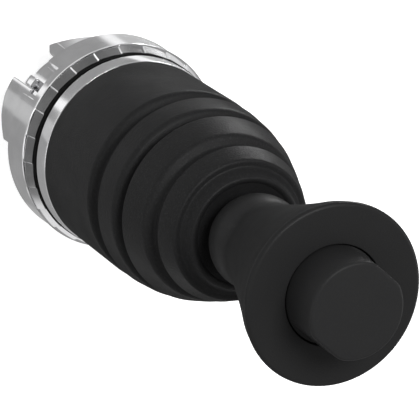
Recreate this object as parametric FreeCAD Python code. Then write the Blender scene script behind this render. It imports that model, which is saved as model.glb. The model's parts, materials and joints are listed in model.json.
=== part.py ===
import FreeCAD, Part
import math
import os

# Panel-mounted joystick head with a push button in its knob. Millimetres.
# The lever lies along +Z. The origin is on its axis, on the face of the panel
# that the gasket presses on. The two tilt axes run along X and Y.

# Clearances
running_clearance = 0.03
guide_clearance = 0.05
seat_clearance = 0.02
free_clearance = 0.3

# Reach of a cutting solid past what it cuts, and of a joined one into its neighbour
beyond = 1.0
overlap = 0.5

# Barrel that passes through the panel
barrel_radius = 11.0
barrel_wall = 1.8
barrel_lower_wall = 2.3
barrel_rear = -16.3
track_depth = 0.9
track_height = 2.8
track_turn_angle = 60.0
entry_angle = 24.0
entry_length = 3.7
entry_count = 3
entry_azimuth = 72.0
key_width = 1.7
key_length = 2.4
key_reach = 1.6
key_azimuth = -86.6
key_from_rear = 1.9

# Gasket and bezel
bezel_reach = 4.0
bezel_taper = 0.2
bezel_front = 3.8
bezel_web = 1.25
bezel_lip = 0.55
bezel_edge = 0.12
gasket_thickness = 1.05
gasket_proud = 0.07
flange_thickness = 1.3

# Locking ring
lock_proud = 0.83
lock_length = 7.4
lock_shell = 1.8
lock_web = 2.4
lock_hub_wall = 1.6
lock_hub_length = 6.4
tooth_count = 24
tooth_band = 1.6
tooth_step = 0.22
tooth_depth = 1.47
lip_width = 0.25
lip_height = 0.12
window_azimuth = -89.6
window_angle = 18.1
window_front = -4.9
window_rebate_front = -3.5
window_rebate_angle = 22.3
window_rebate_depth = 0.8
wing_wall = 0.7
wing_inset = 0.7
wing_rears = (
    ((-83.0, -13.65), (-71.0, -13.5), (-60.0, -12.5), (-47.5, -10.75)),
    ((-106.2, -10.7), (-109.9, -12.65), (-123.0, -10.65), (-138.0, -8.3)),
)

# Tilt mechanism
pivot_height = 10.0
tilt_limit = 12.0
pin_radius = 0.75
gimbal_width = 2.3
gimbal_height = 3.2
gimbal_room = 0.7
hub_room = 0.7
hub_rise = 1.6
hub_sink = 1.0
hub_neck_radius = 4.2
hub_neck_rise = 3.2
hub_neck_slope = 1.0
hub_pin_azimuths = (90.0, 270.0)
tilt_plate_thickness = 1.0
tilt_plate_hole = 2.2

# Carrier that holds the gimbal on the barrel
spigot_wall = 0.75
spigot_depth = 1.6
carrier_room = 0.1
carrier_foot_height = 1.0
carrier_flange_height = 1.2
ear_room = 0.5
ear_width = 1.9
ear_angle = 44.0
ear_rise = 4.2
ear_azimuths = (0.0, 180.0)
carrier_screw_count = 4
carrier_screw_azimuth = 45.0
screw_radius = 0.7
screw_head_radius = 1.3
screw_head_height = 0.8
carrier_screw_length = 6.4

# Spring plate and return spring
spring_plate_thickness = 1.0
spring_plate_hole = 5.2
plate_screw_angle = 12.0
plate_screw_length = 3.6
plate_screw_radius = 0.45
plate_screw_head_radius = 0.85
plate_screw_head_height = 0.5
return_spring_wire = 0.5
return_spring_turns = 5
return_spring_length = 8.8
return_spring_inset = 1.2
coil_steps = 12
collar_thickness = 1.2
collar_skirt = 0.8
collar_skirt_wall = 0.5
clip_thickness = 0.8
clip_reach = 1.6
clip_groove = 0.4
clip_gap_angle = 60.0
clip_gap_azimuth = 90.0

# Lever tube and boot sleeve
tube_radius = 3.0
tube_bore = 1.9
tube_top = 67.2
sleeve_wall = 1.6
sleeve_bottom = 30.0
sleeve_flange_top = 35.0
sleeve_flange = 1.0

# Rubber boot
boot_wall = 1.2
skirt_inset = 0.03
skirt_flare = 0.33
skirt_top = 20.2
skirt_edge = 0.7
boot_foot_width = 1.6
boot_foot_wall = 1.37
# ribs and valleys are (inset from the skirt's top radius, height)
rib_rears = ((0.05, 23.4), (0.8, 30.2), (3.1, 37.8))
rib_fronts = ((0.42, 28.2), (2.25, 35.2), (4.4, 41.5))
rib_edge = 0.5
valley_floors = ((1.35, 21.9), (2.2, 29.2), (4.1, 36.6), (6.0, 41.9))
boot_neck_height = 2.2
lip_outer = (9.0, 43.1)
lip_inner = (8.25, 43.1)
lip_edge = 0.25
funnel_shoulder = (7.5, 41.2)
funnel_foot = (6.1, 37.8)
funnel_inside = ((8.7, 40.6), (7.3, 37.2))

# Handle
bulb_radius = 7.18
bulb_centre = 46.8
bulb_top = 48.5
waist = (6.86, 49.75)
flare = ((7.1, 51.2), (9.9, 60.0), (13.3, 69.3))
rim_radius = 13.85
rim_edge = 0.65
rim_slope = 40.0
handle_front = 72.0
handle_bottom = 41.3
insert_wall = 1.4
insert_bottom = 46.0
insert_top = 58.0
insert_groove = 0.5
insert_groove_width = 2.0
nut_sides = 6
nut_across_flats = 8.0
nut_height = 2.0

# Button
button_radius = 7.45
button_gap = 0.21
button_front = 79.7
button_bottom = 68.0
button_flat = 6.9
button_flat_bottom = 69.2
button_edge = 0.45
button_wall = 1.05
button_roof = 1.3
button_snap = 0.45
button_snap_height = 0.8
button_snap_edge = 0.1
button_floor = 64.5
snap_clearance = 0.2
snap_room = 0.2
boss_radius = 2.6
boss_depth = 4.4
rod_radius = 1.5
rod_press_depth = 3.5
button_spring_radius = 5.4
button_spring_wire = 0.35
button_spring_turns = 6

# Plungers and their guides
plunger_inset = 1.8
plunger_radius = 1.3
plunger_gap = 0.3
plunger_tip = -12.9
plunger_edge = 0.7
plunger_azimuths = {"px": 0.0, "py": 90.0, "mx": 180.0, "my": 270.0}
shoulder_radius = 2.0
shoulder_height = 1.0
guide_thickness = 3.0
guide_top = 2.0
centre_head_radius = 2.6
centre_head_height = 1.0
centre_head_top = 6.6
rod_tip_gap = 0.2
rear_guide_thickness = 1.2
rear_guide_top = -11.0
plunger_spring_wire = 0.22
plunger_spring_turns = 5
centre_clip_gap = 0.2
circlip_thickness = 0.8
circlip_width = 1.5
circlip_groove = 0.4

# Sizes worked out from the ones above
barrel_bore = barrel_radius - barrel_wall
lower_bore = barrel_radius - barrel_lower_wall
bezel_rear_radius = barrel_radius + bezel_reach
bezel_front_radius = bezel_rear_radius - bezel_taper
bezel_inner = bezel_front_radius - bezel_lip
gasket_radius = bezel_rear_radius + gasket_proud
lock_radius = gasket_radius + lock_proud
tooth_root_radius = gasket_radius - tooth_depth
wing_outer_radius = lock_radius - wing_inset
skirt_base_radius = bezel_front_radius - skirt_inset
skirt_top_radius = skirt_base_radius + skirt_flare
web_top = gasket_thickness + bezel_web
flange_top = web_top + flange_thickness
boot_foot_outer = bezel_inner - guide_clearance
boot_foot_inner = boot_foot_outer - boot_foot_width
boot_foot_inside = skirt_base_radius - boot_foot_wall
carrier_inner_radius = barrel_bore - guide_clearance - spigot_wall
carrier_foot_radius = boot_foot_inner - carrier_room
carrier_flange_radius = boot_foot_inside - carrier_room
carrier_screw_circle_radius = (barrel_bore + barrel_radius) / 2
carrier_top = flange_top + carrier_foot_height + carrier_flange_height
ear_outer_radius = min(boot_foot_inside, skirt_top_radius - boot_wall) - ear_room
ear_inner_radius = ear_outer_radius - ear_width
ear_top = pivot_height + ear_rise
gimbal_outer_radius = ear_inner_radius - gimbal_room
gimbal_inner_radius = gimbal_outer_radius - gimbal_width
hub_radius = gimbal_inner_radius - hub_room
plate_top = ear_top + spring_plate_thickness
hub_bottom = pivot_height - hub_sink
hub_top = pivot_height + hub_rise
tilt_plate_bottom = hub_bottom - tilt_plate_thickness
plunger_circle_radius = hub_radius - plunger_inset
guide_bottom = guide_top - guide_thickness
plunger_stroke = plunger_circle_radius * math.radians(tilt_limit)
shoulder_top = guide_bottom - plunger_stroke - free_clearance
collar_radius = hub_radius
return_spring_radius = collar_radius - return_spring_inset
collar_bottom = plate_top + return_spring_length
collar_top = collar_bottom + collar_thickness
sleeve_radius = tube_radius + sleeve_wall
insert_radius = tube_radius + insert_wall
rim_height = handle_front - rim_edge
bore_radius = button_radius + button_gap
snap_radius = button_radius + button_snap
roof_bottom = button_front - button_roof
rear_guide_bottom = rear_guide_top - rear_guide_thickness
centre_clip_top = guide_bottom - centre_clip_gap

Z_AXIS = FreeCAD.Vector(0, 0, 1)
ORIGIN = FreeCAD.Vector(0, 0, 0)


def at(radius, height):
    return FreeCAD.Vector(radius, 0, height)


def polar(radius, azimuth, height=0.0):
    angle = math.radians(azimuth)
    return FreeCAD.Vector(radius * math.cos(angle), radius * math.sin(angle), height)


def rod(radius, low, high, centre=ORIGIN):
    return Part.makeCylinder(radius, high - low, centre + FreeCAD.Vector(0, 0, low), Z_AXIS)


def ring(inner, outer, low, high):
    return rod(outer, low, high).cut(rod(inner, low, high))


def spin(edges, angle=360.0):
    face = Part.Face(Part.Wire(edges))
    return face.revolve(ORIGIN, Z_AXIS, angle)


def turned(corners, angle=360.0):
    points = [at(radius, height) for radius, height in corners]
    return spin(Part.makePolygon(points + points[:1]).Edges, angle)


def sector(inner, outer, low, high, azimuth, angle):
    corners = ((inner, low), (outer, low), (outer, high), (inner, high))
    solid = turned(corners, angle)
    solid.rotate(ORIGIN, Z_AXIS, azimuth - angle / 2)
    return solid


def around(shape, azimuths):
    copies = []
    for azimuth in azimuths:
        copy = shape.copy()
        copy.rotate(ORIGIN, Z_AXIS, azimuth)
        copies.append(copy)
    return copies


def evenly(count, first=0.0):
    return [first + 360.0 * index / count for index in range(count)]


def chamfered(corners):
    # a solid turned from a closed outline whose corners are (radius, height, cut)
    points = []
    for index, (radius, height, cut) in enumerate(corners):
        here = at(radius, height)
        if not cut:
            points.append(here)
            continue
        for neighbour in (corners[index - 1], corners[(index + 1) % len(corners)]):
            towards = at(*neighbour[:2]) - here
            points.append(here + towards.normalize() * cut)
    return spin(Part.makePolygon(points + points[:1]).Edges)


def coil(radius, wire, low, high, turns):
    # a compression spring between two heights, of square wire whose half side is wire
    climb = high - low - 2 * wire
    steps = coil_steps * turns
    sections = []
    for step in range(steps + 1):
        bottom = low + climb * step / steps
        corners = [at(radius - wire, bottom), at(radius + wire, bottom),
                   at(radius + wire, bottom + 2 * wire), at(radius - wire, bottom + 2 * wire)]
        section = Part.makePolygon(corners + corners[:1])
        section.rotate(ORIGIN, Z_AXIS, 360.0 * step / coil_steps)
        sections.append(section)
    return Part.makeLoft(sections, True, True)


def side_hole(radius, inner, outer, azimuth, height):
    start = polar(inner, azimuth, height)
    return Part.makeCylinder(radius, outer - inner, start, polar(1, azimuth))


def countersunk_screw(shank, head, head_height, length, centre, top):
    corners = ((0, top), (head, top), (shank, top - head_height), (shank, top - length), (0, top - length))
    screw = turned(corners)
    screw.translate(centre)
    return screw


def open_clip(inner, outer, low, high):
    gap = sector(0, outer + beyond, low, high, clip_gap_azimuth, clip_gap_angle)
    return ring(inner, outer, low, high).cut(gap)


def group(shapes):
    return Part.makeCompound(shapes)


def fused(shapes):
    return shapes[0].multiFuse(shapes[1:]).removeSplitter()


# Fixed pieces

def carrier_screws():
    return [countersunk_screw(screw_radius, screw_head_radius, screw_head_height, carrier_screw_length,
                              polar(carrier_screw_circle_radius, azimuth), carrier_top)
            for azimuth in evenly(carrier_screw_count, carrier_screw_azimuth)]


def plate_screws():
    circle = (ear_inner_radius + ear_outer_radius) / 2
    return [countersunk_screw(plate_screw_radius, plate_screw_head_radius, plate_screw_head_height,
                              plate_screw_length, polar(circle, azimuth + side), plate_top)
            for azimuth in ear_azimuths for side in (-plate_screw_angle, plate_screw_angle)]


def body_barrel():
    corners = ((lower_bore, barrel_rear), (barrel_radius, barrel_rear), (barrel_radius, web_top),
               (bezel_inner - guide_clearance, web_top), (bezel_inner - guide_clearance, flange_top),
               (barrel_bore, flange_top), (barrel_bore, guide_bottom), (lower_bore, guide_bottom))
    key_bottom = barrel_rear + key_from_rear
    key = Part.makeBox(key_reach + overlap, key_width, key_length,
                       FreeCAD.Vector(barrel_radius - overlap, -key_width / 2, key_bottom))
    barrel = fused([turned(corners)] + around(key, [key_azimuth]))
    groove = ring(lower_bore - overlap, lower_bore + circlip_groove,
                  rear_guide_bottom - circlip_thickness, rear_guide_bottom)
    # a bayonet track is an entry through the rear rim and a turn to one side at its end
    track_floor = barrel_radius - track_depth
    track_end = barrel_rear + entry_length + track_height
    entry = sector(track_floor, barrel_radius + beyond, barrel_rear - beyond, track_end, 0, entry_angle)
    turn = sector(track_floor, barrel_radius + beyond, barrel_rear + entry_length, track_end,
                  (track_turn_angle - entry_angle) / 2, track_turn_angle)
    tracks = around(entry.fuse(turn), evenly(entry_count, entry_azimuth))
    return barrel.cut(group([groove] + carrier_screws())).cut(group(tracks))


def panel_gasket():
    return ring(barrel_radius + seat_clearance, gasket_radius, 0, gasket_thickness)


def bezel_ring():
    corners = ((barrel_radius + seat_clearance, gasket_thickness, 0),
               (bezel_rear_radius, gasket_thickness, bezel_edge),
               (bezel_front_radius, bezel_front, bezel_edge), (bezel_inner, bezel_front, bezel_edge),
               (bezel_inner, web_top, 0), (barrel_radius + seat_clearance, web_top, 0))
    return chamfered(corners)


def tooth():
    # one ramped tooth of the conical front: it rises from its first to its second radial edge
    pitch = 360.0 / tooth_count
    slope = math.atan2(lock_radius - gasket_radius, tooth_band)
    outlines = []
    for azimuth, rise in ((0.0, -tooth_step / 2), (pitch, tooth_step / 2)):
        out = rise * math.cos(slope)
        up = rise * math.sin(slope)
        points = [at(tooth_root_radius, -tooth_band), at(tooth_root_radius, 0),
                  at(gasket_radius - tooth_step, 0),
                  at(gasket_radius + out, up - lip_height), at(lock_radius + out, -tooth_band)]
        outline = Part.makePolygon(points + points[:1])
        outline.rotate(ORIGIN, Z_AXIS, azimuth)
        outlines.append(outline)
    return Part.makeLoft(outlines, True, True)


def wing(rears):
    # an ear behind the ring; rears are the (azimuth, height) corners of its rear edge
    first, last = rears[0][0], rears[-1][0]
    middle = (first + last) / 2
    root = -lock_length + overlap
    corners = [(first, root), *rears, (last, root)]
    points = [FreeCAD.Vector(0, wing_outer_radius * math.sin(math.radians(azimuth - middle)), height)
              for azimuth, height in corners]
    outline = Part.Face(Part.makePolygon(points + points[:1]))
    prism = outline.extrude(FreeCAD.Vector(lock_radius, 0, 0))
    prism.rotate(ORIGIN, Z_AXIS, middle)
    lowest = min(height for azimuth, height in rears)
    return prism.common(ring(wing_outer_radius - wing_wall, wing_outer_radius, lowest, 0))


def locking_ring():
    inner = barrel_radius + seat_clearance
    shell_inner = lock_radius - lock_shell
    hub_outer = inner + lock_hub_wall
    body = ((inner, 0), (inner, -lock_hub_length), (hub_outer, -lock_hub_length), (hub_outer, -lock_web),
            (shell_inner, -lock_web), (shell_inner, -lock_length), (lock_radius, -lock_length),
            (lock_radius, -tooth_band), (tooth_root_radius + tooth_step, -tooth_band),
            (tooth_root_radius + tooth_step, 0))
    lip = ring(lock_radius - lip_width, lock_radius + lip_height, -tooth_band - lip_width, -tooth_band)
    toothed = fused([turned(body), lip] + around(tooth(), evenly(tooth_count)))
    window = sector(hub_outer + guide_clearance, lock_radius + beyond, -lock_length - beyond, window_front,
                    window_azimuth, window_angle)
    rebate = sector(lock_radius - window_rebate_depth, lock_radius + beyond, -lock_length - beyond,
                    window_rebate_front, window_azimuth, window_rebate_angle)
    return fused([toothed.cut(window).cut(rebate)] + [wing(rears) for rears in wing_rears])


def boot():
    foot_top = flange_top + carrier_foot_height
    outside = [(boot_foot_outer, flange_top, 0), (boot_foot_outer, bezel_front, 0),
               (skirt_base_radius, bezel_front, 0), (skirt_top_radius, skirt_top, skirt_edge)]
    inside = [(boot_foot_inner, flange_top, 0), (boot_foot_inner, foot_top, 0),
              (boot_foot_inside, foot_top, 0), (skirt_top_radius - boot_wall, skirt_top, 0)]
    floors, rears, fronts = [[(skirt_top_radius - inset, height) for inset, height in corners]
                             for corners in (valley_floors, rib_rears, rib_fronts)]
    for floor, rear, front in zip(floors, rears, fronts):
        outside += [(*floor, 0), (*rear, 0), (*front, rib_edge)]
        inside += [(floor[0] - boot_wall, floor[1], 0),
                   ((rear[0] + front[0]) / 2 - boot_wall, (rear[1] + front[1]) / 2, 0)]
    neck = sleeve_radius + guide_clearance
    neck_bottom = sleeve_flange_top + guide_clearance
    outside += [(*floors[-1], 0), (*lip_outer, lip_edge), (*lip_inner, lip_edge),
                (*funnel_shoulder, 0), (*funnel_foot, 0),
                (neck, neck_bottom + boot_neck_height, 0),
                (neck, neck_bottom, 0)]
    inside += [(*point, 0) for point in funnel_inside] + [(neck + boot_wall, neck_bottom, 0)]
    return chamfered(outside + inside[::-1])


def gimbal_carrier():
    foot_top = flange_top + carrier_foot_height
    spigot = ring(carrier_inner_radius, barrel_bore - guide_clearance, flange_top - spigot_depth, flange_top)
    foot = ring(carrier_inner_radius, carrier_foot_radius, flange_top, foot_top)
    flange = ring(carrier_inner_radius, carrier_flange_radius, foot_top, carrier_top)
    ear = sector(ear_inner_radius, ear_outer_radius, carrier_top, ear_top, 0, ear_angle)
    ears = around(ear, ear_azimuths)
    holes = [side_hole(pin_radius, ear_inner_radius - beyond, ear_outer_radius + beyond, azimuth,
                       pivot_height) for azimuth in ear_azimuths]
    return fused([spigot, foot, flange] + ears).cut(group(holes + carrier_screws() + plate_screws()))


def gimbal_pins():
    inner = gimbal_inner_radius + free_clearance / 2
    return group([side_hole(pin_radius, inner, ear_outer_radius, azimuth, pivot_height)
                  for azimuth in ear_azimuths])


def spring_plate():
    return ring(spring_plate_hole, ear_outer_radius, ear_top, plate_top).cut(group(plate_screws()))


def return_spring():
    return coil(return_spring_radius, return_spring_wire, plate_top, collar_bottom, return_spring_turns)


def guide_disc(outer, low, high):
    places = [polar(plunger_circle_radius, azimuth) for azimuth in plunger_azimuths.values()] + [ORIGIN]
    holes = [rod(plunger_radius + guide_clearance, low, high, place) for place in places]
    return rod(outer - guide_clearance, low, high).cut(group(holes))


def plunger_guide():
    return guide_disc(barrel_bore, guide_bottom, guide_top)


def rear_guide():
    return guide_disc(lower_bore, rear_guide_bottom, rear_guide_top)


def rear_circlip():
    outer = lower_bore + circlip_groove - guide_clearance
    return open_clip(outer - circlip_width, outer, rear_guide_bottom - circlip_thickness, rear_guide_bottom)


def plunger_spring(top):
    radius = plunger_radius + guide_clearance * 2 + plunger_spring_wire
    return coil(radius, plunger_spring_wire, rear_guide_top, top, plunger_spring_turns)


def tilt_plunger_springs():
    spring = plunger_spring(shoulder_top - shoulder_height)
    spring.translate(polar(plunger_circle_radius, 0))
    return group(around(spring, plunger_azimuths.values()))


def centre_plunger_spring():
    return plunger_spring(centre_clip_top - clip_thickness)


# Moving pieces of the tilt mechanism

def gimbal_ring():
    body = ring(gimbal_inner_radius, gimbal_outer_radius, pivot_height - gimbal_height / 2,
                pivot_height + gimbal_height / 2)
    holes = [side_hole(pin_radius + running_clearance, gimbal_inner_radius - beyond,
                       gimbal_outer_radius + beyond, azimuth, pivot_height) for azimuth in evenly(4)]
    return body.cut(group(holes))


def lever_hub():
    corners = ((tube_radius, hub_bottom), (hub_radius, hub_bottom), (hub_radius, hub_top),
               (hub_neck_radius + hub_neck_slope, hub_top), (hub_neck_radius, pivot_height + hub_neck_rise),
               (tube_radius, pivot_height + hub_neck_rise))
    return turned(corners).cut(group(hub_pin_solids()))


def hub_pin_solids():
    outer = gimbal_outer_radius - free_clearance / 2
    return [side_hole(pin_radius, tube_radius + guide_clearance, outer, azimuth, pivot_height)
            for azimuth in hub_pin_azimuths]


def tilt_plate():
    return ring(tilt_plate_hole, hub_radius, tilt_plate_bottom, hub_bottom)


def lever_tube():
    tube = ring(tube_bore, tube_radius, hub_bottom, tube_top)
    groove = ring(tube_radius - clip_groove, tube_radius + beyond, collar_top, collar_top + clip_thickness)
    return tube.cut(groove)


def spring_collar():
    collar = ring(tube_radius, collar_radius, collar_bottom, collar_top)
    skirt = ring(collar_radius - collar_skirt_wall, collar_radius, collar_bottom - collar_skirt,
                 collar_bottom)
    return fused([collar, skirt])


def collar_clip():
    return open_clip(tube_radius - clip_groove, tube_radius + clip_reach, collar_top,
                     collar_top + clip_thickness)


def boot_sleeve():
    sleeve = ring(tube_radius, sleeve_radius, sleeve_bottom, handle_bottom)
    flange = ring(tube_radius, sleeve_radius + sleeve_flange, sleeve_flange_top - sleeve_flange,
                  sleeve_flange_top)
    return fused([sleeve, flange])


def nut_solid():
    corner_radius = nut_across_flats / 2 / math.cos(math.pi / nut_sides)
    points = [polar(corner_radius, azimuth, button_floor) for azimuth in evenly(nut_sides)]
    outline = Part.Face(Part.makePolygon(points + points[:1]))
    blank = outline.extrude(FreeCAD.Vector(0, 0, nut_height))
    return blank.cut(rod(tube_radius, button_floor, button_floor + nut_height))


def handle_insert():
    body = ring(tube_radius, insert_radius, insert_bottom, insert_top)
    groove_bottom = (insert_bottom + insert_top - insert_groove_width) / 2
    groove = ring(insert_radius - insert_groove, insert_radius + beyond, groove_bottom,
                  groove_bottom + insert_groove_width)
    return body.cut(groove)


def handle():
    foot_radius = math.sqrt(bulb_radius ** 2 - (bulb_centre - handle_bottom) ** 2)
    bulb_end = at(math.sqrt(bulb_radius ** 2 - (bulb_top - bulb_centre) ** 2), bulb_top)
    foot = at(foot_radius, handle_bottom)
    rim_centre = at(rim_radius - rim_edge, rim_height)
    slope = math.radians(rim_slope)
    rim_start = rim_centre + at(rim_edge * math.cos(slope), -rim_edge * math.sin(slope))
    flare_start, flare_middle, flare_end = [at(*point) for point in flare]
    face_edge = at(rim_radius - rim_edge, handle_front)
    outline = [Part.LineSegment(at(0, handle_bottom), foot),
               Part.Arc(foot, at(bulb_radius, bulb_centre), bulb_end),
               Part.Arc(bulb_end, at(*waist), flare_start),
               Part.Arc(flare_start, flare_middle, flare_end),
               Part.LineSegment(flare_end, rim_start),
               Part.Arc(rim_start, at(rim_radius, rim_height), face_edge),
               Part.LineSegment(face_edge, at(0, handle_front)),
               Part.LineSegment(at(0, handle_front), at(0, handle_bottom))]
    knob = spin([curve.toShape() for curve in outline])
    well_bottom = button_bottom + button_snap_height + snap_room
    for cutter in (rod(tube_radius, handle_bottom, button_floor), handle_insert(),
                   rod(snap_radius + snap_clearance, button_floor, well_bottom),
                   rod(bore_radius, well_bottom, handle_front)):
        knob = knob.cut(cutter)
    return knob


# Button and its rod

def button_cap():
    snap_top = button_bottom + button_snap_height
    cap = chamfered(((0, button_bottom, 0), (snap_radius, button_bottom, button_snap_edge),
                     (snap_radius, snap_top, button_snap_edge), (button_radius, snap_top, 0),
                     (button_radius, button_front, button_edge), (0, button_front, 0)))
    depth = button_radius - button_flat + beyond
    width = 2 * (button_radius + beyond)
    for side in (button_flat, -button_flat - depth):
        corner = FreeCAD.Vector(side, -width / 2, button_flat_bottom)
        cap = cap.cut(Part.makeBox(depth, width, button_front - button_flat_bottom + beyond, corner))
    boss_bottom = roof_bottom - boss_depth
    hollow = rod(button_radius - button_wall, button_bottom, roof_bottom)
    hollow = hollow.cut(rod(boss_radius, boss_bottom, roof_bottom))
    return cap.cut(hollow).cut(rod(rod_radius, boss_bottom, boss_bottom + rod_press_depth))


def push_rod():
    top = roof_bottom - boss_depth + rod_press_depth
    tip = centre_head_top + rod_tip_gap
    return chamfered(((0, tip, 0), (rod_radius, tip, plunger_edge), (rod_radius, top, 0), (0, top, 0)))


def button_spring():
    return coil(button_spring_radius, button_spring_wire, button_floor, roof_bottom, button_spring_turns)


# Plungers

def tilt_plunger(azimuth):
    top = tilt_plate_bottom - plunger_gap
    plunger = chamfered(((0, plunger_tip, 0), (plunger_radius, plunger_tip, 0),
                         (plunger_radius, shoulder_top - shoulder_height, 0),
                         (shoulder_radius, shoulder_top - shoulder_height, 0),
                         (shoulder_radius, shoulder_top, 0), (plunger_radius, shoulder_top, 0),
                         (plunger_radius, top, plunger_edge), (0, top, 0)))
    plunger.translate(polar(plunger_circle_radius, azimuth))
    return plunger


def centre_clip():
    low = centre_clip_top - clip_thickness
    return open_clip(plunger_radius - clip_groove, shoulder_radius, low, centre_clip_top)


def centre_plunger():
    head = rod(centre_head_radius, centre_head_top - centre_head_height, centre_head_top)
    stem = rod(plunger_radius, plunger_tip, centre_head_top - centre_head_height)
    groove = ring(plunger_radius - clip_groove, plunger_radius + beyond, centre_clip_top - clip_thickness,
                  centre_clip_top)
    return fused([head, stem]).cut(groove)


pieces = {
    "body_barrel": body_barrel(),
    "panel_gasket": panel_gasket(),
    "bezel_ring": bezel_ring(),
    "locking_ring": locking_ring(),
    "boot": boot(),
    "gimbal_carrier": gimbal_carrier(),
    "carrier_screws": group(carrier_screws()),
    "gimbal_pins": gimbal_pins(),
    "spring_plate": spring_plate(),
    "spring_plate_screws": group(plate_screws()),
    "return_spring": return_spring(),
    "plunger_guide": plunger_guide(),
    "rear_guide": rear_guide(),
    "rear_circlip": rear_circlip(),
    "tilt_plunger_springs": tilt_plunger_springs(),
    "centre_plunger_spring": centre_plunger_spring(),
    "gimbal_ring": gimbal_ring(),
    "lever_hub": lever_hub(),
    "hub_pins": group(hub_pin_solids()),
    "tilt_plate": tilt_plate(),
    "lever_tube": lever_tube(),
    "spring_collar": spring_collar(),
    "collar_clip": collar_clip(),
    "boot_sleeve": boot_sleeve(),
    "handle": handle(),
    "handle_insert": handle_insert(),
    "handle_nut": nut_solid(),
    "button_cap": button_cap(),
    "push_rod": push_rod(),
    "button_spring": button_spring(),
    "centre_plunger": centre_plunger(),
    "centre_plunger_clip": centre_clip(),
}
for side, azimuth in plunger_azimuths.items():
    pieces["tilt_plunger_" + side] = tilt_plunger(azimuth)

os.makedirs("parts", exist_ok=True)
for name, shape in pieces.items():
    shape.exportStep("parts/" + name + ".step")
    box = shape.BoundBox
    print(name, len(shape.Solids), shape.isValid(), round(shape.Volume, 1),
          [round(value, 2) for value in (box.XMin, box.YMin, box.ZMin, box.XMax, box.YMax, box.ZMax)])
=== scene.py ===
import bpy, bmesh
import json, math
from mathutils import Matrix, Quaternion, Vector


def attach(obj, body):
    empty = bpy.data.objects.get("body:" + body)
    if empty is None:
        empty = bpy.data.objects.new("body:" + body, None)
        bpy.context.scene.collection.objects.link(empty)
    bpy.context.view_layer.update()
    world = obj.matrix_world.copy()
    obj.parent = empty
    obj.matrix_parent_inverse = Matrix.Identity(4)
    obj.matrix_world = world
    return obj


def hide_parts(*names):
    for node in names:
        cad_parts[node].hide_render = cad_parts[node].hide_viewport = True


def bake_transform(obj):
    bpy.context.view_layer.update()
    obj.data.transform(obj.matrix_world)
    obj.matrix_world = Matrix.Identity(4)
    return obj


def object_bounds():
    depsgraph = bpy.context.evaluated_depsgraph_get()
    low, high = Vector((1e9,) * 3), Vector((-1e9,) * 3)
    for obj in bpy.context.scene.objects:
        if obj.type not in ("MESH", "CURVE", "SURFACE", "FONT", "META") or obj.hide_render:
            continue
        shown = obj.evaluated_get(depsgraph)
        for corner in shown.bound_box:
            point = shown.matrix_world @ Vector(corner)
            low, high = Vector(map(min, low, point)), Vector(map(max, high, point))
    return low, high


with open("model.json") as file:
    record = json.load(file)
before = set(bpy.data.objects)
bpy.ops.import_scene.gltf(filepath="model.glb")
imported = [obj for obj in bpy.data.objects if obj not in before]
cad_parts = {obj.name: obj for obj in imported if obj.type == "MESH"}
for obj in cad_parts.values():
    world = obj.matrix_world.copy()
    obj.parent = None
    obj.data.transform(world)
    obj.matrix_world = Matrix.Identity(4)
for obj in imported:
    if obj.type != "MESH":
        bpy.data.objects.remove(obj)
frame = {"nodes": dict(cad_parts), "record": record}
cadBox = [[float(value) for value in corner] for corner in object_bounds()]

# A panel joystick head with a button in its knob. Lengths are in millimetres, and mm makes them metres.
mm = 0.001
weldDistance = 0.002
turnSteps = 192         # points round a turned piece
columnAngle = 2.5       # degrees between the outlines of a piece that differs round the axis
columnRoom = 0.6        # no plain outline stands this near a cut
atOnce = (-1e-3, 1e-3)  # leans of a cut with a sheer side


def softened(corners, steps=5):
    # corners are (radius, height, bend), and each bend becomes a curve
    points = []
    for index, (radius, height, bend) in enumerate(corners):
        here = Vector((radius, height))
        before = Vector(corners[index - 1][:2]) - here
        after = Vector(corners[(index + 1) % len(corners)][:2]) - here
        if not bend:
            points.append(here)
            continue
        half = before.angle(after) / 2
        reach = min(bend / math.tan(half), before.length * 0.49, after.length * 0.49)
        start = here + before.normalized() * reach
        end = here + after.normalized() * reach
        for step in range(steps + 1):
            share = step / steps
            points.append(start.lerp(here, share).lerp(here.lerp(end, share), share))
    return points


def arcThrough(start, middle, end, steps):
    # the points of an arc, whose centre (x, y) is as far from all three given ones
    (ax, ay), (bx, by), (cx, cy) = start, middle, end
    twice = 2 * (ax * (by - cy) + bx * (cy - ay) + cx * (ay - by))
    squareA, squareB, squareC = ax * ax + ay * ay, bx * bx + by * by, cx * cx + cy * cy
    x = (squareA * (by - cy) + squareB * (cy - ay) + squareC * (ay - by)) / twice
    y = (squareA * (cx - bx) + squareB * (ax - cx) + squareC * (bx - ax)) / twice
    radius = math.hypot(ax - x, ay - y)
    first = math.atan2(ay - y, ax - x)
    sweep = math.remainder(math.atan2(cy - y, cx - x) - first, 2 * math.pi)
    angles = [first + sweep * step / steps for step in range(steps + 1)]
    return [Vector((x + radius * math.cos(angle), y + radius * math.sin(angle))) for angle in angles]


def around(radius, azimuth, height):
    angle = math.radians(azimuth)
    return Vector((radius * math.cos(angle), radius * math.sin(angle), height))


def away(azimuth, middle):
    # degrees from one azimuth to another, the short way round
    return abs((azimuth - middle + 180) % 360 - 180)


def finished(name, form, sharp):
    bmesh.ops.remove_doubles(form, verts=form.verts, dist=weldDistance * mm)
    bmesh.ops.recalc_face_normals(form, faces=form.faces)
    mesh = bpy.data.meshes.new(name)
    form.to_mesh(mesh)
    form.free()
    mesh.shade_smooth()
    mesh.set_sharp_from_angle(angle=math.radians(sharp))
    return mesh


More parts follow.
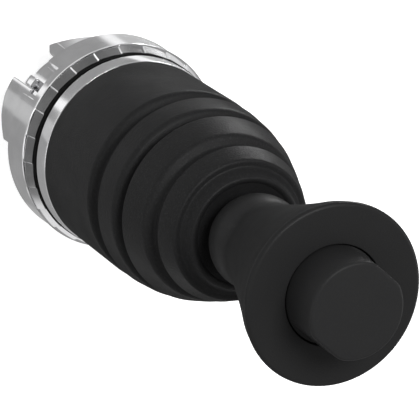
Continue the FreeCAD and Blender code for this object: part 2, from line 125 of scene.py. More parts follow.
def skinned(name, rings, loop, sharp=32):
    # a closed skin over rings of equally many points; loop joins the last ring to the first
    form = bmesh.new()
    rows = [[form.verts.new(point * mm) for point in ring] for ring in rings]
    count = len(rows[0])
    for low, high in list(zip(rows, rows[1:])) + ([(rows[-1], rows[0])] if loop else []):
        for index in range(count):
            after = (index + 1) % count
            form.faces.new((low[index], low[after], high[after], high[index]))
    if not loop:
        form.faces.new(rows[0][::-1])
        form.faces.new(rows[-1])
    return finished(name, form, sharp)


def turned(name, outline, sharp=32, steps=turnSteps):
    rings = [[around(point[0], 360 * step / steps, point[1]) for step in range(steps)] for point in outline]
    return skinned(name, rings, True, sharp)


def columns(name, cuts, outlineAt, sharp=32):
    # a closed skin whose outline differs round the axis, and changes at once between the leans of each cut
    cuts = {round(cut % 360, 4): leans for cut, leans in cuts}
    plain = [step * columnAngle for step in range(round(360 / columnAngle))]
    rings = []
    for azimuth in sorted({*cuts, *plain}):
        if azimuth in cuts:
            sides = [azimuth + lean for lean in cuts[azimuth]]
        elif min(away(azimuth, cut) for cut in cuts) > columnRoom:
            sides = (azimuth,)
        else:
            continue
        rings += [[around(radius, side, height) for radius, height in outlineAt(side)] for side in sides]
    return skinned(name, rings, True, sharp)


def modified(name, mesh, kind, **values):
    # the mesh with one modifier applied
    trial = bpy.data.objects.new(name, mesh)
    bpy.context.collection.objects.link(trial)
    modifier = trial.modifiers.new(kind, kind)
    for label, value in values.items():
        setattr(modifier, label, value)
    result = bpy.data.meshes.new_from_object(trial.evaluated_get(bpy.context.evaluated_depsgraph_get()))
    bpy.data.objects.remove(trial)
    result.name = name
    return result


def bevelled(name, mesh, width, angle=30):
    # the mesh with its edges over the angle rounded off, and its flats shaded flat beside them
    mesh.shade_smooth()
    rounded = modified(name, mesh, "BEVEL", width=width * mm, segments=2, limit_method="ANGLE",
                       angle_limit=math.radians(angle))
    rounded.shade_smooth()
    return modified(name, rounded, "WEIGHTED_NORMAL", weight=90)


def addPiece(name, mesh, slot, body, stands):
    piece = bpy.data.objects.new(name, mesh)
    bpy.context.collection.objects.link(piece)
    mesh.materials.append(finishes[slot])
    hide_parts(*stands)
    if body:
        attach(piece, body)
    return piece


def newGroup(name, inputs, outputs):
    group = bpy.data.node_groups.new(name, "ShaderNodeTree")
    for label, value in inputs:
        group.interface.new_socket(label, in_out="INPUT", socket_type="NodeSocketFloat").default_value = value
    for label in outputs:
        group.interface.new_socket(label, in_out="OUTPUT", socket_type="NodeSocketFloat")
    return group, group.nodes.new("NodeGroupInput"), group.nodes.new("NodeGroupOutput")


def mathNode(tree, operation, *values):
    node = tree.nodes.new("ShaderNodeMath")
    node.operation = operation
    for index, value in enumerate(values):
        if isinstance(value, (int, float)):
            node.inputs[index].default_value = value
        else:
            tree.links.new(value, node.inputs[index])
    return node.outputs[0]


def rangeNode(tree, value, fromLow, fromHigh, toLow=0.0, toHigh=1.0, smooth=False):
    node = tree.nodes.new("ShaderNodeMapRange")
    node.interpolation_type = "SMOOTHSTEP" if smooth else "LINEAR"
    tree.links.new(value, node.inputs["Value"])
    for label, number in (("From Min", fromLow), ("From Max", fromHigh), ("To Min", toLow), ("To Max", toHigh)):
        node.inputs[label].default_value = number
    return node.outputs["Result"]


def noiseNode(tree, vector, scale, detail, roughness=0.5):
    node = tree.nodes.new("ShaderNodeTexNoise")
    node.inputs["Detail"].default_value = detail
    node.inputs["Roughness"].default_value = roughness
    tree.links.new(vector, node.inputs["Vector"])
    tree.links.new(scale, node.inputs["Scale"])
    return node.outputs["Fac"]


def mouldedGrain():
    # fine pits, slow clouds and light speckles of moulded rubber and plastic
    tree, given, result = newGroup("mouldedGrain", [("Grain Scale", 4000.0), ("Cloud Scale", 200.0)],
                                   ["Height", "Cloud", "Speckle"])
    place = tree.nodes.new("ShaderNodeTexCoord").outputs["Object"]
    fine = noiseNode(tree, place, given.outputs["Grain Scale"], 3.0, 0.65)
    slow = noiseNode(tree, place, given.outputs["Cloud Scale"], 4.0)
    tree.links.new(fine, result.inputs["Height"])
    tree.links.new(slow, result.inputs["Cloud"])
    tree.links.new(rangeNode(tree, fine, 0.52, 0.8), result.inputs["Speckle"])
    return tree


def latheLines():
    # the fine circles that a lathe or a brush leaves about the axis, and slow patches
    tree, given, result = newGroup("latheLines", [("Line Scale", 9000.0), ("Patch Scale", 250.0)],
                                   ["Height", "Patch"])
    place = tree.nodes.new("ShaderNodeTexCoord").outputs["Object"]
    split = tree.nodes.new("ShaderNodeSeparateXYZ")
    tree.links.new(place, split.inputs[0])
    squareX = mathNode(tree, "MULTIPLY", split.outputs["X"], split.outputs["X"])
    squareY = mathNode(tree, "MULTIPLY", split.outputs["Y"], split.outputs["Y"])
    across = tree.nodes.new("ShaderNodeCombineXYZ")
    tree.links.new(mathNode(tree, "SQRT", mathNode(tree, "ADD", squareX, squareY)), across.inputs["X"])
    tree.links.new(split.outputs["Z"], across.inputs["Y"])
    tree.links.new(noiseNode(tree, across.outputs[0], given.outputs["Line Scale"], 2.0), result.inputs["Height"])
    tree.links.new(noiseNode(tree, place, given.outputs["Patch Scale"], 3.0), result.inputs["Patch"])
    return tree


def castSkin():
    # the slight unevenness of a die-cast or blasted metal surface
    tree, given, result = newGroup("castSkin", [("Skin Scale", 2500.0), ("Patch Scale", 250.0)],
                                   ["Height", "Patch"])
    place = tree.nodes.new("ShaderNodeTexCoord").outputs["Object"]
    tree.links.new(noiseNode(tree, place, given.outputs["Skin Scale"], 4.0, 0.6), result.inputs["Height"])
    tree.links.new(noiseNode(tree, place, given.outputs["Patch Scale"], 3.0), result.inputs["Patch"])
    return tree


# each skin has its group, the masks that mix its colours and its roughness, and how far the first is stretched
skins = {
    "moulded": {"group": mouldedGrain(), "masks": ("Speckle", "Cloud"), "mixFrom": (0.0, 1.0)},
    "turned": {"group": latheLines(), "masks": ("Patch", "Patch"), "mixFrom": (0.35, 0.65)},
    "cast": {"group": castSkin(), "masks": ("Patch", "Patch"), "mixFrom": (0.35, 0.65)},
}
roughFrom = (0.35, 0.65)
# a moulded skin gets rougher by the last value where it turns away from the first to the second
turningAway = (0.5, 0.9, 0.4)
# skin is one of the above, dark and light its colours, rough the roughness and its spread, grain the scale of
# its finest texture, and depth how deep that is
looks = {
    "boot_rubber": {"skin": "moulded", "dark": (0.0175, 0.0175, 0.0179), "light": (0.035, 0.035, 0.036),
                    "rough": (0.35, 0.04), "grain": 4200.0, "depth": 0.16, "specular": 0.1},
    "gasket_rubber": {"skin": "moulded", "dark": (0.003, 0.003, 0.003), "light": (0.006, 0.006, 0.006),
                      "rough": (0.7, 0.05), "grain": 4000.0, "depth": 0.01, "specular": 0.08},
    "black_plastic": {"skin": "moulded", "dark": (0.0198, 0.0198, 0.0201), "light": (0.0266, 0.0266, 0.0271),
                      "rough": (0.36, 0.03), "grain": 5000.0, "depth": 0.06, "specular": 0.11},
    "button_plastic": {"skin": "moulded", "dark": (0.0228, 0.0228, 0.0232), "light": (0.0288, 0.0288, 0.0293),
                       "rough": (0.4, 0.03), "grain": 5000.0, "depth": 0.03, "specular": 0.1},
    "guide_plastic": {"skin": "moulded", "dark": (0.03, 0.03, 0.032), "light": (0.045, 0.045, 0.048),
                      "rough": (0.45, 0.04), "grain": 4000.0, "depth": 0.01, "specular": 0.35},
    "plunger_plastic": {"skin": "moulded", "dark": (0.42, 0.40, 0.36), "light": (0.5, 0.48, 0.43),
                        "rough": (0.4, 0.04), "grain": 4000.0, "depth": 0.008, "specular": 0.4},
    "chrome": {"skin": "turned", "dark": (0.87, 0.87, 0.88), "light": (0.94, 0.94, 0.95),
               "rough": (0.13, 0.03), "grain": 9000.0, "depth": 0.0012},
    "cast_zinc": {"skin": "cast", "dark": (0.84, 0.84, 0.85), "light": (0.93, 0.93, 0.94),
                  "rough": (0.14, 0.03), "grain": 2500.0, "depth": 0.0012},
    "zinc_inner": {"skin": "cast", "dark": (0.42, 0.42, 0.43), "light": (0.52, 0.52, 0.53),
                   "rough": (0.4, 0.06), "grain": 2500.0, "depth": 0.004},
    "steel": {"skin": "turned", "dark": (0.5, 0.5, 0.51), "light": (0.58, 0.58, 0.59),
              "rough": (0.28, 0.05), "grain": 9000.0, "depth": 0.003},
    "spring_steel": {"skin": "turned", "dark": (0.4, 0.4, 0.42), "light": (0.5, 0.5, 0.52),
                     "rough": (0.22, 0.04), "grain": 6000.0, "depth": 0.002},
    "brass": {"skin": "turned", "dark": (0.62, 0.44, 0.18), "light": (0.72, 0.54, 0.25),
              "rough": (0.26, 0.05), "grain": 9000.0, "depth": 0.003},
}


def madeFinish(slot, look):
    skin = skins[look["skin"]]
    material = bpy.data.materials.new("".join(word.capitalize() for word in slot.split("_")) + "Finish")
    material.use_nodes = True
    tree = material.node_tree
    shader = tree.nodes["Principled BSDF"]
    if look["skin"] == "moulded":
        shader.inputs["Specular IOR Level"].default_value = look["specular"]
    else:
        shader.inputs["Metallic"].default_value = 1.0
    group = tree.nodes.new("ShaderNodeGroup")
    group.node_tree = skin["group"]
    group.inputs[0].default_value = look["grain"]
    colourMask, roughMask = (group.outputs[label] for label in skin["masks"])
    mix = tree.nodes.new("ShaderNodeMix")
    mix.data_type = "RGBA"
    tree.links.new(rangeNode(tree, colourMask, *skin["mixFrom"]), mix.inputs["Factor"])
    mix.inputs["A"].default_value = (*look["dark"], 1)
    mix.inputs["B"].default_value = (*look["light"], 1)
    tree.links.new(mix.outputs["Result"], shader.inputs["Base Color"])
    middle, spread = look["rough"]
    roughness = rangeNode(tree, roughMask, *roughFrom, middle - spread, middle + spread)
    if look["skin"] == "moulded":
        # the grain takes the gloss off where the surface turns away
        facing = tree.nodes.new("ShaderNodeLayerWeight")
        facing.inputs["Blend"].default_value = 0.5
        start, end, most = turningAway
        turnedAway = rangeNode(tree, facing.outputs["Facing"], start, end, 0.0, most, True)
        roughness = mathNode(tree, "ADD", roughness, turnedAway)
    tree.links.new(roughness, shader.inputs["Roughness"])
    bump = tree.nodes.new("ShaderNodeBump")
    bump.inputs["Strength"].default_value = 0.5
    bump.inputs["Distance"].default_value = look["depth"] * mm
    tree.links.new(group.outputs["Height"], bump.inputs["Height"])
    tree.links.new(bump.outputs["Normal"], shader.inputs["Normal"])
    return material


finishes = {slot: madeFinish(slot, look) for slot, look in looks.items()}
# the solids are dressed too, for those that no piece takes the place of
for part in frame["record"]["subparts"]:
    for place in frame["nodes"][part["node"]].material_slots:
        place.material = finishes[part["material_slot"]]
print("finishes ready:", len(finishes))


bezel = {
    "outline": ((11.02, 1.05, 0), (15.0, 1.05, 0.2), (14.8, 3.8, 0.2), (14.25, 3.8, 0.1), (14.25, 2.3, 0),
                (11.02, 2.3, 0)),
}
gasket = {"outline": ((11.02, 0, 0), (15.07, 0, 0.15), (15.07, 1.05, 0.15), (11.02, 1.05, 0))}
addPiece("bezelRing", turned("bezelRing", softened(bezel["outline"])), "chrome", "base", ["bezel_ring"])
addPiece("panelGasket", turned("panelGasket", softened(gasket["outline"])), "gasket_rubber", "base",
         ["panel_gasket"])
print("bezel and gasket made")


barrel = {
    "bore": 8.7, "outer": 11.0, "rear": -16.3, "upperBore": 9.2, "step": -1.0, "flange": 14.2, "flangeFrom": 2.3,
    "flangeTo": 3.6, "clipGroove": (9.1, -13.0, -12.2), "trackFloor": 10.1, "entries": (72, 192, 312),
    "entryAngle": 24.0, "turnAngle": 60.0, "entryLength": 3.7, "turnHeight": 2.8, "edge": 0.15,
}
# flat is how far out the barrel is cut flat behind its key, and taper the (inset, share of its size) at its ends
key = {
    "azimuth": -86.6, "flat": 10.85, "inner": 10.5, "outer": 12.6, "width": 1.7, "low": -14.4, "high": -12.0,
    "bend": 0.3, "taper": ((0.0, 0.75), (0.1, 0.93), (0.3, 1.0)), "sharp": 50,
}


def barrelOutline(azimuth):
    rear, floor = barrel["rear"], barrel["trackFloor"]
    aside = math.radians(min(away(azimuth, key["azimuth"]), 60))
    outer = min(barrel["outer"], key["flat"] / math.cos(aside))
    groove, grooveLow, grooveHigh = barrel["clipGroove"]
    entryTop = rear + barrel["entryLength"]
    trackTop = entryTop + barrel["turnHeight"]
    half, turnHalf = barrel["entryAngle"] / 2, barrel["turnAngle"] / 2
    inEntry = any(away(azimuth, middle) < half for middle in barrel["entries"])
    inTurn = any(away(azimuth, middle - half + turnHalf) < turnHalf for middle in barrel["entries"])
    entryRadius, turnRadius = (floor if inEntry else outer), (floor if inTurn else outer)
    return ((barrel["bore"], rear), (entryRadius, rear), (entryRadius, entryTop), (turnRadius, entryTop),
            (turnRadius, trackTop), (outer, trackTop), (outer, barrel["flangeFrom"]),
            (barrel["flange"], barrel["flangeFrom"]), (barrel["flange"], barrel["flangeTo"]),
            (barrel["upperBore"], barrel["flangeTo"]), (barrel["upperBore"], barrel["step"]),
            (barrel["bore"], barrel["step"]), (barrel["bore"], grooveHigh), (groove, grooveHigh),
            (groove, grooveLow), (barrel["bore"], grooveLow))


def barrelKey():
    half = key["width"] / 2
    plan = softened([(key["inner"], -half, 0), (key["outer"], -half, key["bend"]),
                     (key["outer"], half, key["bend"]), (key["inner"], half, 0)])
    turn = Matrix.Rotation(math.radians(key["azimuth"]), 3, "Z")
    middle = (key["inner"] + key["outer"]) / 2
    levels = [(key["low"] + inset, share) for inset, share in key["taper"]]
    levels += [(key["high"] - inset, share) for inset, share in reversed(key["taper"])]
    rings = [[turn @ Vector((middle + (x - middle) * share, y * share, height)) for x, y in plan]
             for height, share in levels]
    return skinned("barrelKey", rings, False, key["sharp"])


halfEntry = barrel["entryAngle"] / 2
barrelCuts = [(middle + lean, atOnce) for middle in barrel["entries"]
              for lean in (-halfEntry, halfEntry, barrel["turnAngle"] - halfEntry)]
addPiece("bodyBarrel", bevelled("bodyBarrel", columns("barrelForm", barrelCuts, barrelOutline), barrel["edge"]),
         "cast_zinc", "base", ["body_barrel"])
addPiece("barrelKey", barrelKey(), "cast_zinc", "base", ["body_barrel"])
print("barrel made")


locking = {
    "bore": 11.02, "hub": 12.62, "hubBottom": -6.4, "web": -2.4, "shellInner": 14.1, "outer": 15.9,
    "bottom": -7.4, "band": -1.6, "toothRoot": 13.6, "toothOuter": 15.07, "teeth": 24, "toothStep": 0.23,
    "stepShape": ((-0.38, 0.5), (-0.03, 0.18), (0.38, -0.5)),
    "windowAt": -89.6, "windowAngle": 18.1, "windowTop": -4.9, "rebateAngle": 22.3, "rebateTop": -3.5,
    "rebateDepth": 0.8, "lipWidth": 0.27, "lipProud": 0.1, "lipFront": 0.055, "lipEdge": 0.05,
    "bandInset": 0.14, "bandShare": 0.8, "noseHeight": 0.12, "noseWidth": 0.2, "noseRise": 0.1, "noseSlope": 0.5,
    "sharp": 30,
}
# each wing is the (azimuth, height, lean) corners of its rear edge; lean is how far its top stands in
wings = {
    "inner": 14.5, "outer": 15.2, "top": -6.9, "edge": 0.12,
    "rears": (((-83.0, -13.65, 0), (-71.0, -13.5, 0), (-60.0, -12.5, 0), (-47.5, -10.75, 0)),
              ((-138.0, -8.3, 0.3), (-123.0, -10.65, 0.7), (-114.4, -11.96, 0.7), (-113.6, -12.09, 0),
               (-109.9, -12.65, 0), (-106.2, -10.7, 0))),
}


def toothRise(azimuth):
    # how far a tooth stands proud there: it climbs slowly and falls off at the step
    pitch, shape = 360 / locking["teeth"], locking["stepShape"]
    first = shape[0][0]
    lean = (azimuth - first) % pitch + first
    corners = shape + ((first + pitch, shape[0][1]),)
    for (start, low), (end, high) in zip(corners, corners[1:]):
        if lean <= end:
            return (low + (high - low) * (lean - start) / (end - start)) * locking["toothStep"]


def ringOutline(azimuth):
    outer, band, tooth = (locking[name] for name in ("outer", "band", "toothOuter"))
    lip, lipEdge = locking["lipWidth"], locking["lipEdge"]
    slope = math.atan2(outer - tooth, -band)
    rise = toothRise(azimuth)
    out, up = rise * math.cos(slope), rise * math.sin(slope)
    windowed = away(azimuth, locking["windowAt"]) < locking["windowAngle"] / 2
    rebated = away(azimuth, locking["windowAt"]) < locking["rebateAngle"] / 2
    bottom = locking["windowTop"] if windowed else locking["bottom"]
    shell = outer - (locking["rebateDepth"] if rebated else 0)
    rebateTop = locking["rebateTop"] if rebated else locking["bottom"] / 2
    return ((locking["bore"], 0), (locking["bore"], locking["hubBottom"]), (locking["hub"], locking["hubBottom"]),
            (locking["hub"], locking["web"]), (locking["shellInner"], locking["web"]),
            (locking["shellInner"], bottom), (shell, bottom), (shell, rebateTop), (outer, rebateTop),
            (outer, band - lip - lipEdge), (outer + locking["lipProud"], band - lip),
            (outer + locking["lipFront"], band + up - lipEdge), (outer, band + up),
            (outer - locking["bandInset"] + locking["bandShare"] * out, band + up),
            (tooth + out, up - locking["noseHeight"]),
            (tooth + out - locking["noseWidth"], up - locking["noseRise"]), (tooth - locking["noseSlope"], 0),
            (locking["toothRoot"], 0))


def wing(name, rears):
    inner, outer, top = wings["inner"], wings["outer"], wings["top"]
    rings = []
    for (start, startRear, startLean), (end, endRear, endLean) in zip(rears, rears[1:]):
        steps = math.ceil((end - start) / columnAngle)
        for step in range(steps + (end == rears[-1][0])):
            azimuth = start + (end - start) * step / steps
            rear = startRear + (endRear - startRear) * step / steps
            lean = startLean + (endLean - startLean) * step / steps
            rings.append([around(inner - lean, azimuth, top), around(inner, azimuth, rear),
                          around(outer, azimuth, rear), around(outer - lean, azimuth, top)])
    return bevelled(name, skinned(name + "Form", rings, False), wings["edge"])


stepLeans = [lean for lean, share in locking["stepShape"]]
ringCuts = [(360 * index / locking["teeth"], stepLeans) for index in range(locking["teeth"])]
ringCuts += [(locking["windowAt"] + side * locking[width] / 2, atOnce)
             for side in (-1, 1) for width in ("windowAngle", "rebateAngle")]
addPiece("lockingRing", columns("lockingRing", ringCuts, ringOutline, locking["sharp"]), "cast_zinc", "base",
         ["locking_ring"])
for index, rears in enumerate(wings["rears"]):
    name = "ringWing" + str(index + 1)
    addPiece(name, wing(name, rears), "cast_zinc", "base", ["locking_ring"])
print("locking ring made")


# The boot is three pieces, which join in a valley and on the lip: two are tied to no body and stay where they are
# made, one rides on the lever.
boot = {
    "lower": ((14.2, 3.6, 0), (14.2, 3.8, 0), (14.77, 3.8, 0.12), (15.1, 20.2, 1.1), (13.75, 20.9, 0.5),
              (13.7, 22.9, 0.4), (15.05, 23.4, 0.35), (14.68, 28.2, 1.3), (13.0, 28.6, 0.4), (12.85, 29.2, 0),
              (11.65, 29.2, 0), (11.85, 27.6, 0.4), (13.38, 27.2, 0.6), (13.75, 24.3, 0.6), (12.5, 22.4, 0.4),
              (12.5, 20.7, 0.4), (13.8, 19.0, 0.6), (13.4, 4.6, 0), (12.6, 4.6, 0), (12.6, 3.6, 0)),
    "upper": ((12.85, 29.2, 0), (12.85, 29.9, 0.35), (14.3, 30.2, 0.35), (12.85, 35.2, 1.3), (11.35, 35.7, 0.7),
              (11.0, 37.1, 0.5), (12.0, 37.8, 0.35), (10.75, 41.2, 0.7), (9.75, 40.95, 0.4),
              (9.35, 41.5, 0.6), (8.55, 42.9, 0.85), (7.7, 42.45, 0), (7.6, 41.7, 0.2), (8.2, 39.9, 0.4),
              (9.6, 39.5, 0.5), (10.7, 38.5, 0.4), (9.8, 37.0, 0.4), (10.1, 35.2, 0.5), (11.55, 34.3, 0.6),
              (13.0, 31.1, 0.5), (11.65, 29.7, 0.3), (11.65, 29.2, 0)),
    "cuff": ((7.7, 42.45, 0), (7.0, 42.1, 0.5), (6.0, 41.65, 0.4), (4.65, 41.2, 0),
             (4.65, 35.05, 0), (5.85, 35.05, 0.3), (5.9, 38.6, 0.8), (7.1, 40.4, 0.6), (7.6, 41.7, 0.2)),
    "bends": ((12.0, 28.0), (30.0, 42.5)), "sharp": 60,
}


def bootPiece(name, outline, body):
    return addPiece(name, turned(name, softened(outline), boot["sharp"]), "boot_rubber", body, ["boot"])


bootLower = bootPiece("bootLower", boot["lower"], None)
bootUpper = bootPiece("bootUpper", boot["upper"], None)
bootPiece("bootCuff", boot["cuff"], "lever")
for piece, bodies, (low, high) in zip((bootLower, bootUpper), (("base", "gimbal"), ("gimbal", "lever")),
                                      boot["bends"]):
    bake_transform(piece)
print("boot made")


knob = {
    "bottom": 41.3, "bulb": 7.18, "bulbCentre": 46.8, "bulbTop": 48.5, "waist": (6.86, 49.75),
    "flare": ((7.1, 51.2), (9.9, 60.0), (13.3, 69.3)), "rim": 13.85, "rimHeight": 71.35, "rimBend": 0.65,
    "rimSlope": 40.0, "front": 72.0, "mouthBend": 0.15, "arcSteps": (24, 8, 20, 12),
    "inside": ((7.66, 68.999), (8.1, 68.999), (8.1, 64.5), (3.0, 64.5), (3.0, 58.0), (4.4, 58.0), (4.4, 46.0),
               (3.0, 46.0), (3.0, 41.3)),
}


def handleOutline():
    bulb, centre = knob["bulb"], knob["bulbCentre"]
    foot = (math.sqrt(bulb ** 2 - (centre - knob["bottom"]) ** 2), knob["bottom"])
    bulbEnd = (math.sqrt(bulb ** 2 - (knob["bulbTop"] - centre) ** 2), knob["bulbTop"])
    face = knob["rim"] - knob["rimBend"]
    slope = math.radians(knob["rimSlope"])
    rimStart = (face + knob["rimBend"] * math.cos(slope), knob["rimHeight"] - knob["rimBend"] * math.sin(slope))
    mouth, mouthEnd = knob["inside"][0]
    edge = softened([(mouth + 1, knob["front"], 0), (mouth, knob["front"], knob["mouthBend"]), (mouth, mouthEnd, 0)])
    bulbSteps, waistSteps, flareSteps, rimSteps = knob["arcSteps"]
    return (arcThrough(foot, (bulb, centre), bulbEnd, bulbSteps)
            + arcThrough(bulbEnd, knob["waist"], knob["flare"][0], waistSteps)[1:]
            + arcThrough(*knob["flare"], flareSteps)[1:]
            + arcThrough(rimStart, (knob["rim"], knob["rimHeight"]), (face, knob["front"]), rimSteps)
            + edge[:-1] + [Vector(point) for point in knob["inside"]])


addPiece("handle", turned("handle", handleOutline()), "black_plastic", "lever", ["handle"])
print("handle made")


button = {
    "radius": 7.45, "flat": 6.9, "flatBottom": 71.75, "front": 79.7, "bend": 0.5, "snap": 7.9, "bottom": 68.0,
    "snapTop": 68.8, "cornerBend": 0.25, "edgeSteps": 6, "faceInsets": (2.5, 4.5, 6.4), "sharp": 40,
    "inside": ((1.5, 77.5), (1.5, 74.0), (2.6, 74.0), (2.6, 78.4), (6.4, 78.4), (6.4, 68.0)),
}


def buttonRing(height, inset, flats):
    # the cap's outline at a height, drawn in by the inset, with or without its two flats
    points = []
    for step in range(turnSteps):
        azimuth = 360 * step / turnSteps
        radius = button["radius"] - inset
        across = abs(math.cos(math.radians(azimuth)))
        if flats and across > 1e-6:
            reach = (button["flat"] - inset) / across
            near = max(0.0, button["cornerBend"] - abs(reach - radius)) / button["cornerBend"]
            radius = min(reach, radius) - near * near * button["cornerBend"] / 4
        points.append(around(radius, azimuth, height))
    return points


def buttonCap():
    low, snapTop, flatBottom, front = (button[name] for name in ("bottom", "snapTop", "flatBottom", "front"))
    plain = list(button["inside"]) + [(button["snap"], low), (button["snap"], snapTop)]
    rings = [[around(radius, 360 * step / turnSteps, height) for step in range(turnSteps)]
             for radius, height in plain]
    rings += [buttonRing(snapTop, 0, False), buttonRing(flatBottom, 0, False), buttonRing(flatBottom, 0, True)]
    for step in range(button["edgeSteps"] + 1):
        angle = math.radians(90 * step / button["edgeSteps"])
        rings.append(buttonRing(front - button["bend"] * (1 - math.sin(angle)),
                                button["bend"] * (1 - math.cos(angle)), True))
    rings += [buttonRing(front, inset, False) for inset in button["faceInsets"]]
    return skinned("buttonCap", rings, False, button["sharp"])


addPiece("buttonCap", buttonCap(), "button_plastic", "button", ["button_cap"])
print("button made")


# Springs of round wire. Each is (radius, wire radius, low, high, turns), and its end turns lie flat.
springs = {
    "returnSpring": (6.1, 0.5, 15.2, 24.0, 5), "buttonSpring": (5.4, 0.35, 64.5, 78.4, 6),
    "tiltSpring": (1.62, 0.22, -11.0, -3.45, 5), "centreSpring": (1.62, 0.22, -11.0, -2.0, 5),
    "flatTurn": 0.5, "turnPoints": 40, "wirePoints": 12, "sharp": 60,
}
plungers = {
    "circle": 5.5, "axis": 0.001, "tip": -12.9, "radius": 1.3, "bend": 0.45, "shoulder": 2.0, "shoulderLow": -3.45,
    "shoulderHigh": -2.45, "shoulderBend": 0.15, "top": 7.7, "topBend": 0.7, "steps": 48,
    "sides": {"px": 0, "py": 90, "mx": 180, "my": 270},
}


def coil(name, start=0.0, end=1.0, place=Vector((0, 0, 0))):
    # the stretch of a spring from one share of its wire to another
    radius, wire, low, high, turns = springs[name]
    flat = springs["flatTurn"] / turns
    count = round(turns * springs["turnPoints"])
    rings = []
    for step in range(round(start * count), round(end * count) + 1):
        share = step / count
        climb = min(max((share - flat) / (1 - 2 * flat), 0), 1)
        azimuth = 360 * turns * share
        centre = around(radius, azimuth, low + wire + (high - low - 2 * wire) * climb)
        outward = around(1, azimuth, 0)
        rings.append([centre + place + wire * (outward * math.cos(angle) + Vector((0, 0, math.sin(angle))))
                      for angle in (2 * math.pi * side / springs["wirePoints"]
                                    for side in range(springs["wirePoints"]))])
    return skinned(name, rings, False, springs["sharp"])


def addSpring(name, mesh, stands, bodies, low, high):
    piece = addPiece(name, mesh, "spring_steel", None, [stands])
    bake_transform(piece)


returnLow, returnHigh = springs["returnSpring"][2:4]
returnMiddle = (returnLow + returnHigh) / 2
addSpring("returnSpringLower", coil("returnSpring", 0, 0.5), "return_spring", ("base", "gimbal"), returnLow,
          returnMiddle)
addSpring("returnSpringUpper", coil("returnSpring", 0.5, 1), "return_spring", ("gimbal", "lever"), returnMiddle,
          returnHigh)
addSpring("buttonSpring", coil("buttonSpring"), "button_spring", ("lever", "button"), *springs["buttonSpring"][2:4])
addSpring("centreSpring", coil("centreSpring"), "centre_plunger_spring", ("base", "centre_plunger"),
          *springs["centreSpring"][2:4])
plungerOutline = softened([(plungers["axis"], plungers["tip"], 0),
                           (plungers["radius"], plungers["tip"], plungers["bend"]),
                           (plungers["radius"], plungers["shoulderLow"], 0),
                           (plungers["shoulder"], plungers["shoulderLow"], plungers["shoulderBend"]),
                           (plungers["shoulder"], plungers["shoulderHigh"], plungers["shoulderBend"]),
                           (plungers["radius"], plungers["shoulderHigh"], 0),
                           (plungers["radius"], plungers["top"], plungers["topBend"]),
                           (plungers["axis"], plungers["top"], 0)])
for side, azimuth in plungers["sides"].items():
    place = around(plungers["circle"], azimuth, 0)
    addSpring("tiltSpring." + side, coil("tiltSpring", place=place), "tilt_plunger_springs",
              ("base", "plunger_" + side), *springs["tiltSpring"][2:4])
    mesh = turned("tiltPlunger." + side, plungerOutline, steps=plungers["steps"])
    mesh.transform(Matrix.Translation(place * mm))
    addPiece("tiltPlunger." + side, mesh, "plunger_plastic", "plunger_" + side, ["tilt_plunger_" + side])
print("springs and plungers made")


room = {
    "floor": 0.86, "floorRough": 0.9, "floorGlow": 0.7, "floorDrop": 0.02, "light": 0.44, "reach": 4.0,
    # what metal and gloss see round them: one level, with soft cards over it, the later ones on top, each
    # (azimuth, half width, elevation, half height, soft edge, level)
    "gloss": 0.4,
    "cards": (
        (0.0, 180.0, -70.0, 24.0, 6.0, 0.4),
        (0.0, 180.0, -7.0, 13.0, 3.0, 0.16),
        (112.0, 12.0, -7.0, 13.0, 8.0, 0.9),
        (72.0, 5.0, -7.0, 13.0, 6.0, 0.5),
        (140.0, 4.0, -7.0, 13.0, 5.0, 0.45),
        (0.0, 180.0, -33.0, 9.0, 3.0, 1.0),
        (140.0, 24.0, -58.0, 18.0, 6.0, 0.72),
        (-55.0, 9.0, -56.0, 20.0, 2.0, 0.67),
        (76.0, 14.0, -56.0, 12.0, 5.0, 0.54),
        (-85.0, 5.0, -56.0, 16.0, 2.5, 1.3),
        (171.0, 7.0, -60.0, 12.0, 3.0, 1.3),
        (165.0, 25.0, -10.0, 15.0, 2.0, 0.16),
        (167.0, 7.0, -40.0, 4.0, 4.0, 14.0),
        (-69.0, 8.0, -28.0, 6.0, 6.0, 1.8),
    ),
}
lamps = {
    "keyLamp": {"at": (-0.36, -0.22, 0.85), "size": 0.45, "power": 4.9},
    "sideLamp": {"at": (0.62, -0.55, 0.4), "size": 0.5, "power": 0.7},
    "backLamp": {"at": (-0.5, 0.75, 0.35), "size": 0.5, "power": 1.0},
    "aim": (0, 0, 0.03),
}
view = {"azimuth": 4.8, "elevation": 58.85, "roll": 125.0, "aim": (0.157, 0.013, 30.55), "distance": 1176.5,
        "sensor": 36, "lens": 685.7}


def studioCards(tree):
    # the level that gloss sees in each direction
    direction = tree.nodes.new("ShaderNodeTexCoord").outputs["Generated"]
    split = tree.nodes.new("ShaderNodeSeparateXYZ")
    tree.links.new(direction, split.inputs[0])
    azimuth = mathNode(tree, "DEGREES", mathNode(tree, "ARCTAN2", split.outputs["Y"], split.outputs["X"]))
    elevation = mathNode(tree, "DEGREES", mathNode(tree, "ARCSINE", split.outputs["Z"]))
    level = room["gloss"]
    for middle, halfWidth, height, halfHeight, soft, brightness in room["cards"]:
        # half a turn is added and taken off again, so that no card is cut at the seam of the azimuth
        turnedTo = mathNode(tree, "FLOORED_MODULO", mathNode(tree, "ADD", azimuth, 540.0 - middle), 360.0)
        aside = mathNode(tree, "ABSOLUTE", mathNode(tree, "SUBTRACT", turnedTo, 180.0))
        above = mathNode(tree, "ABSOLUTE", mathNode(tree, "SUBTRACT", elevation, height))
        inWidth = rangeNode(tree, aside, halfWidth, halfWidth + soft, 1.0, 0.0, True)
        inHeight = rangeNode(tree, above, halfHeight, halfHeight + soft, 1.0, 0.0, True)
        covered = mathNode(tree, "MULTIPLY", inWidth, inHeight)
        level = mathNode(tree, "MULTIPLY_ADD", covered, mathNode(tree, "SUBTRACT", brightness, level), level)
    return level


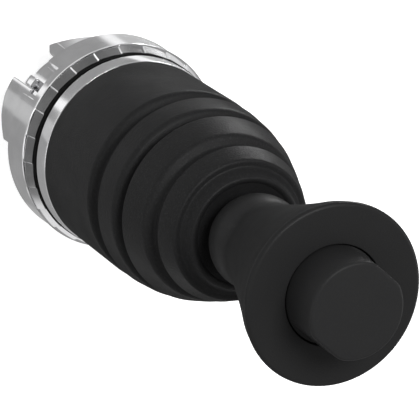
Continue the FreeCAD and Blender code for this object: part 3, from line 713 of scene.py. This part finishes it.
def showWhite(tree, plainShader, glow):
    # the glow where the camera, a reflection or glass looks, and the plain shader for everything else
    path = tree.nodes.new("ShaderNodeLightPath")
    seen = mathNode(tree, "MAXIMUM", path.outputs["Is Camera Ray"], path.outputs["Is Glossy Ray"])
    seen = mathNode(tree, "MAXIMUM", seen, path.outputs["Is Transmission Ray"])
    mix = tree.nodes.new("ShaderNodeMixShader")
    tree.links.new(seen, mix.inputs[0])
    tree.links.new(plainShader, mix.inputs[1])
    tree.links.new(glow, mix.inputs[2])
    return mix.outputs[0]


def makeWorld():
    world = bpy.data.worlds.new("room")
    bpy.context.scene.world = world
    world.use_nodes = True
    tree = world.node_tree
    plain = tree.nodes["Background"]
    plain.inputs["Color"].default_value = (1, 1, 1, 1)
    plain.inputs["Strength"].default_value = room["light"]
    white = tree.nodes.new("ShaderNodeBackground")
    path = tree.nodes.new("ShaderNodeLightPath")
    # 1 for the camera, and the cards' level for gloss
    cardShare = mathNode(tree, "SUBTRACT", studioCards(tree), 1.0)
    tree.links.new(mathNode(tree, "MULTIPLY_ADD", cardShare, path.outputs["Is Glossy Ray"], 1.0),
                   white.inputs["Strength"])
    tree.links.new(showWhite(tree, plain.outputs[0], white.outputs[0]), tree.nodes["World Output"].inputs["Surface"])


def makeFloor():
    height = cadBox[0][2] - room["floorDrop"] * mm
    reach = room["reach"]
    mesh = bpy.data.meshes.new("floor")
    mesh.from_pydata([(-reach, -reach, height), (reach, -reach, height), (reach, reach, height),
                      (-reach, reach, height)], [], [(0, 1, 2, 3)])
    floor = bpy.data.objects.new("floor", mesh)
    bpy.context.collection.objects.link(floor)
    floor.visible_glossy = False  # gloss sees the room past it
    material = bpy.data.materials.new("paleFloor")
    material.use_nodes = True
    tree = material.node_tree
    shader = tree.nodes["Principled BSDF"]
    shader.inputs["Base Color"].default_value = (room["floor"], room["floor"], room["floor"], 1)
    shader.inputs["Roughness"].default_value = room["floorRough"]
    shader.inputs["Specular IOR Level"].default_value = 0.0
    glow = tree.nodes.new("ShaderNodeEmission")
    glow.inputs["Strength"].default_value = room["floorGlow"]
    both = tree.nodes.new("ShaderNodeAddShader")
    tree.links.new(shader.outputs[0], both.inputs[0])
    tree.links.new(glow.outputs[0], both.inputs[1])
    tree.links.new(showWhite(tree, shader.outputs[0], both.outputs[0]),
                   tree.nodes["Material Output"].inputs["Surface"])
    mesh.materials.append(material)


def makeLamps():
    aim = Vector(lamps["aim"])
    for name in ("keyLamp", "sideLamp", "backLamp"):
        lamp = bpy.data.lights.new(name, "AREA")
        lamp.shape = "DISK"
        lamp.size = lamps[name]["size"]
        lamp.energy = lamps[name]["power"]
        holder = bpy.data.objects.new(name, lamp)
        holder.location = lamps[name]["at"]
        holder.rotation_euler = (aim - holder.location).to_track_quat("-Z", "Y").to_euler()
        bpy.context.collection.objects.link(holder)


def makeCamera():
    azimuth, elevation = math.radians(view["azimuth"]), math.radians(view["elevation"])
    back = Vector((math.sin(azimuth) * math.cos(elevation), -math.cos(azimuth) * math.cos(elevation),
                   math.sin(elevation)))
    lens = bpy.data.cameras.new("camera")
    lens.sensor_width = view["sensor"]
    lens.lens = view["lens"]
    camera = bpy.data.objects.new("camera", lens)
    camera.rotation_mode = "QUATERNION"
    roll = Quaternion((0, 0, 1), math.radians(view["roll"]))
    camera.rotation_quaternion = (-back).to_track_quat("-Z", "Y") @ roll
    camera.location = (Vector(view["aim"]) + back * view["distance"]) * mm
    bpy.context.collection.objects.link(camera)
    bpy.context.scene.camera = camera


bpy.context.scene.view_settings.view_transform = "Standard"
makeWorld()
makeFloor()
makeLamps()
makeCamera()
print("room ready")
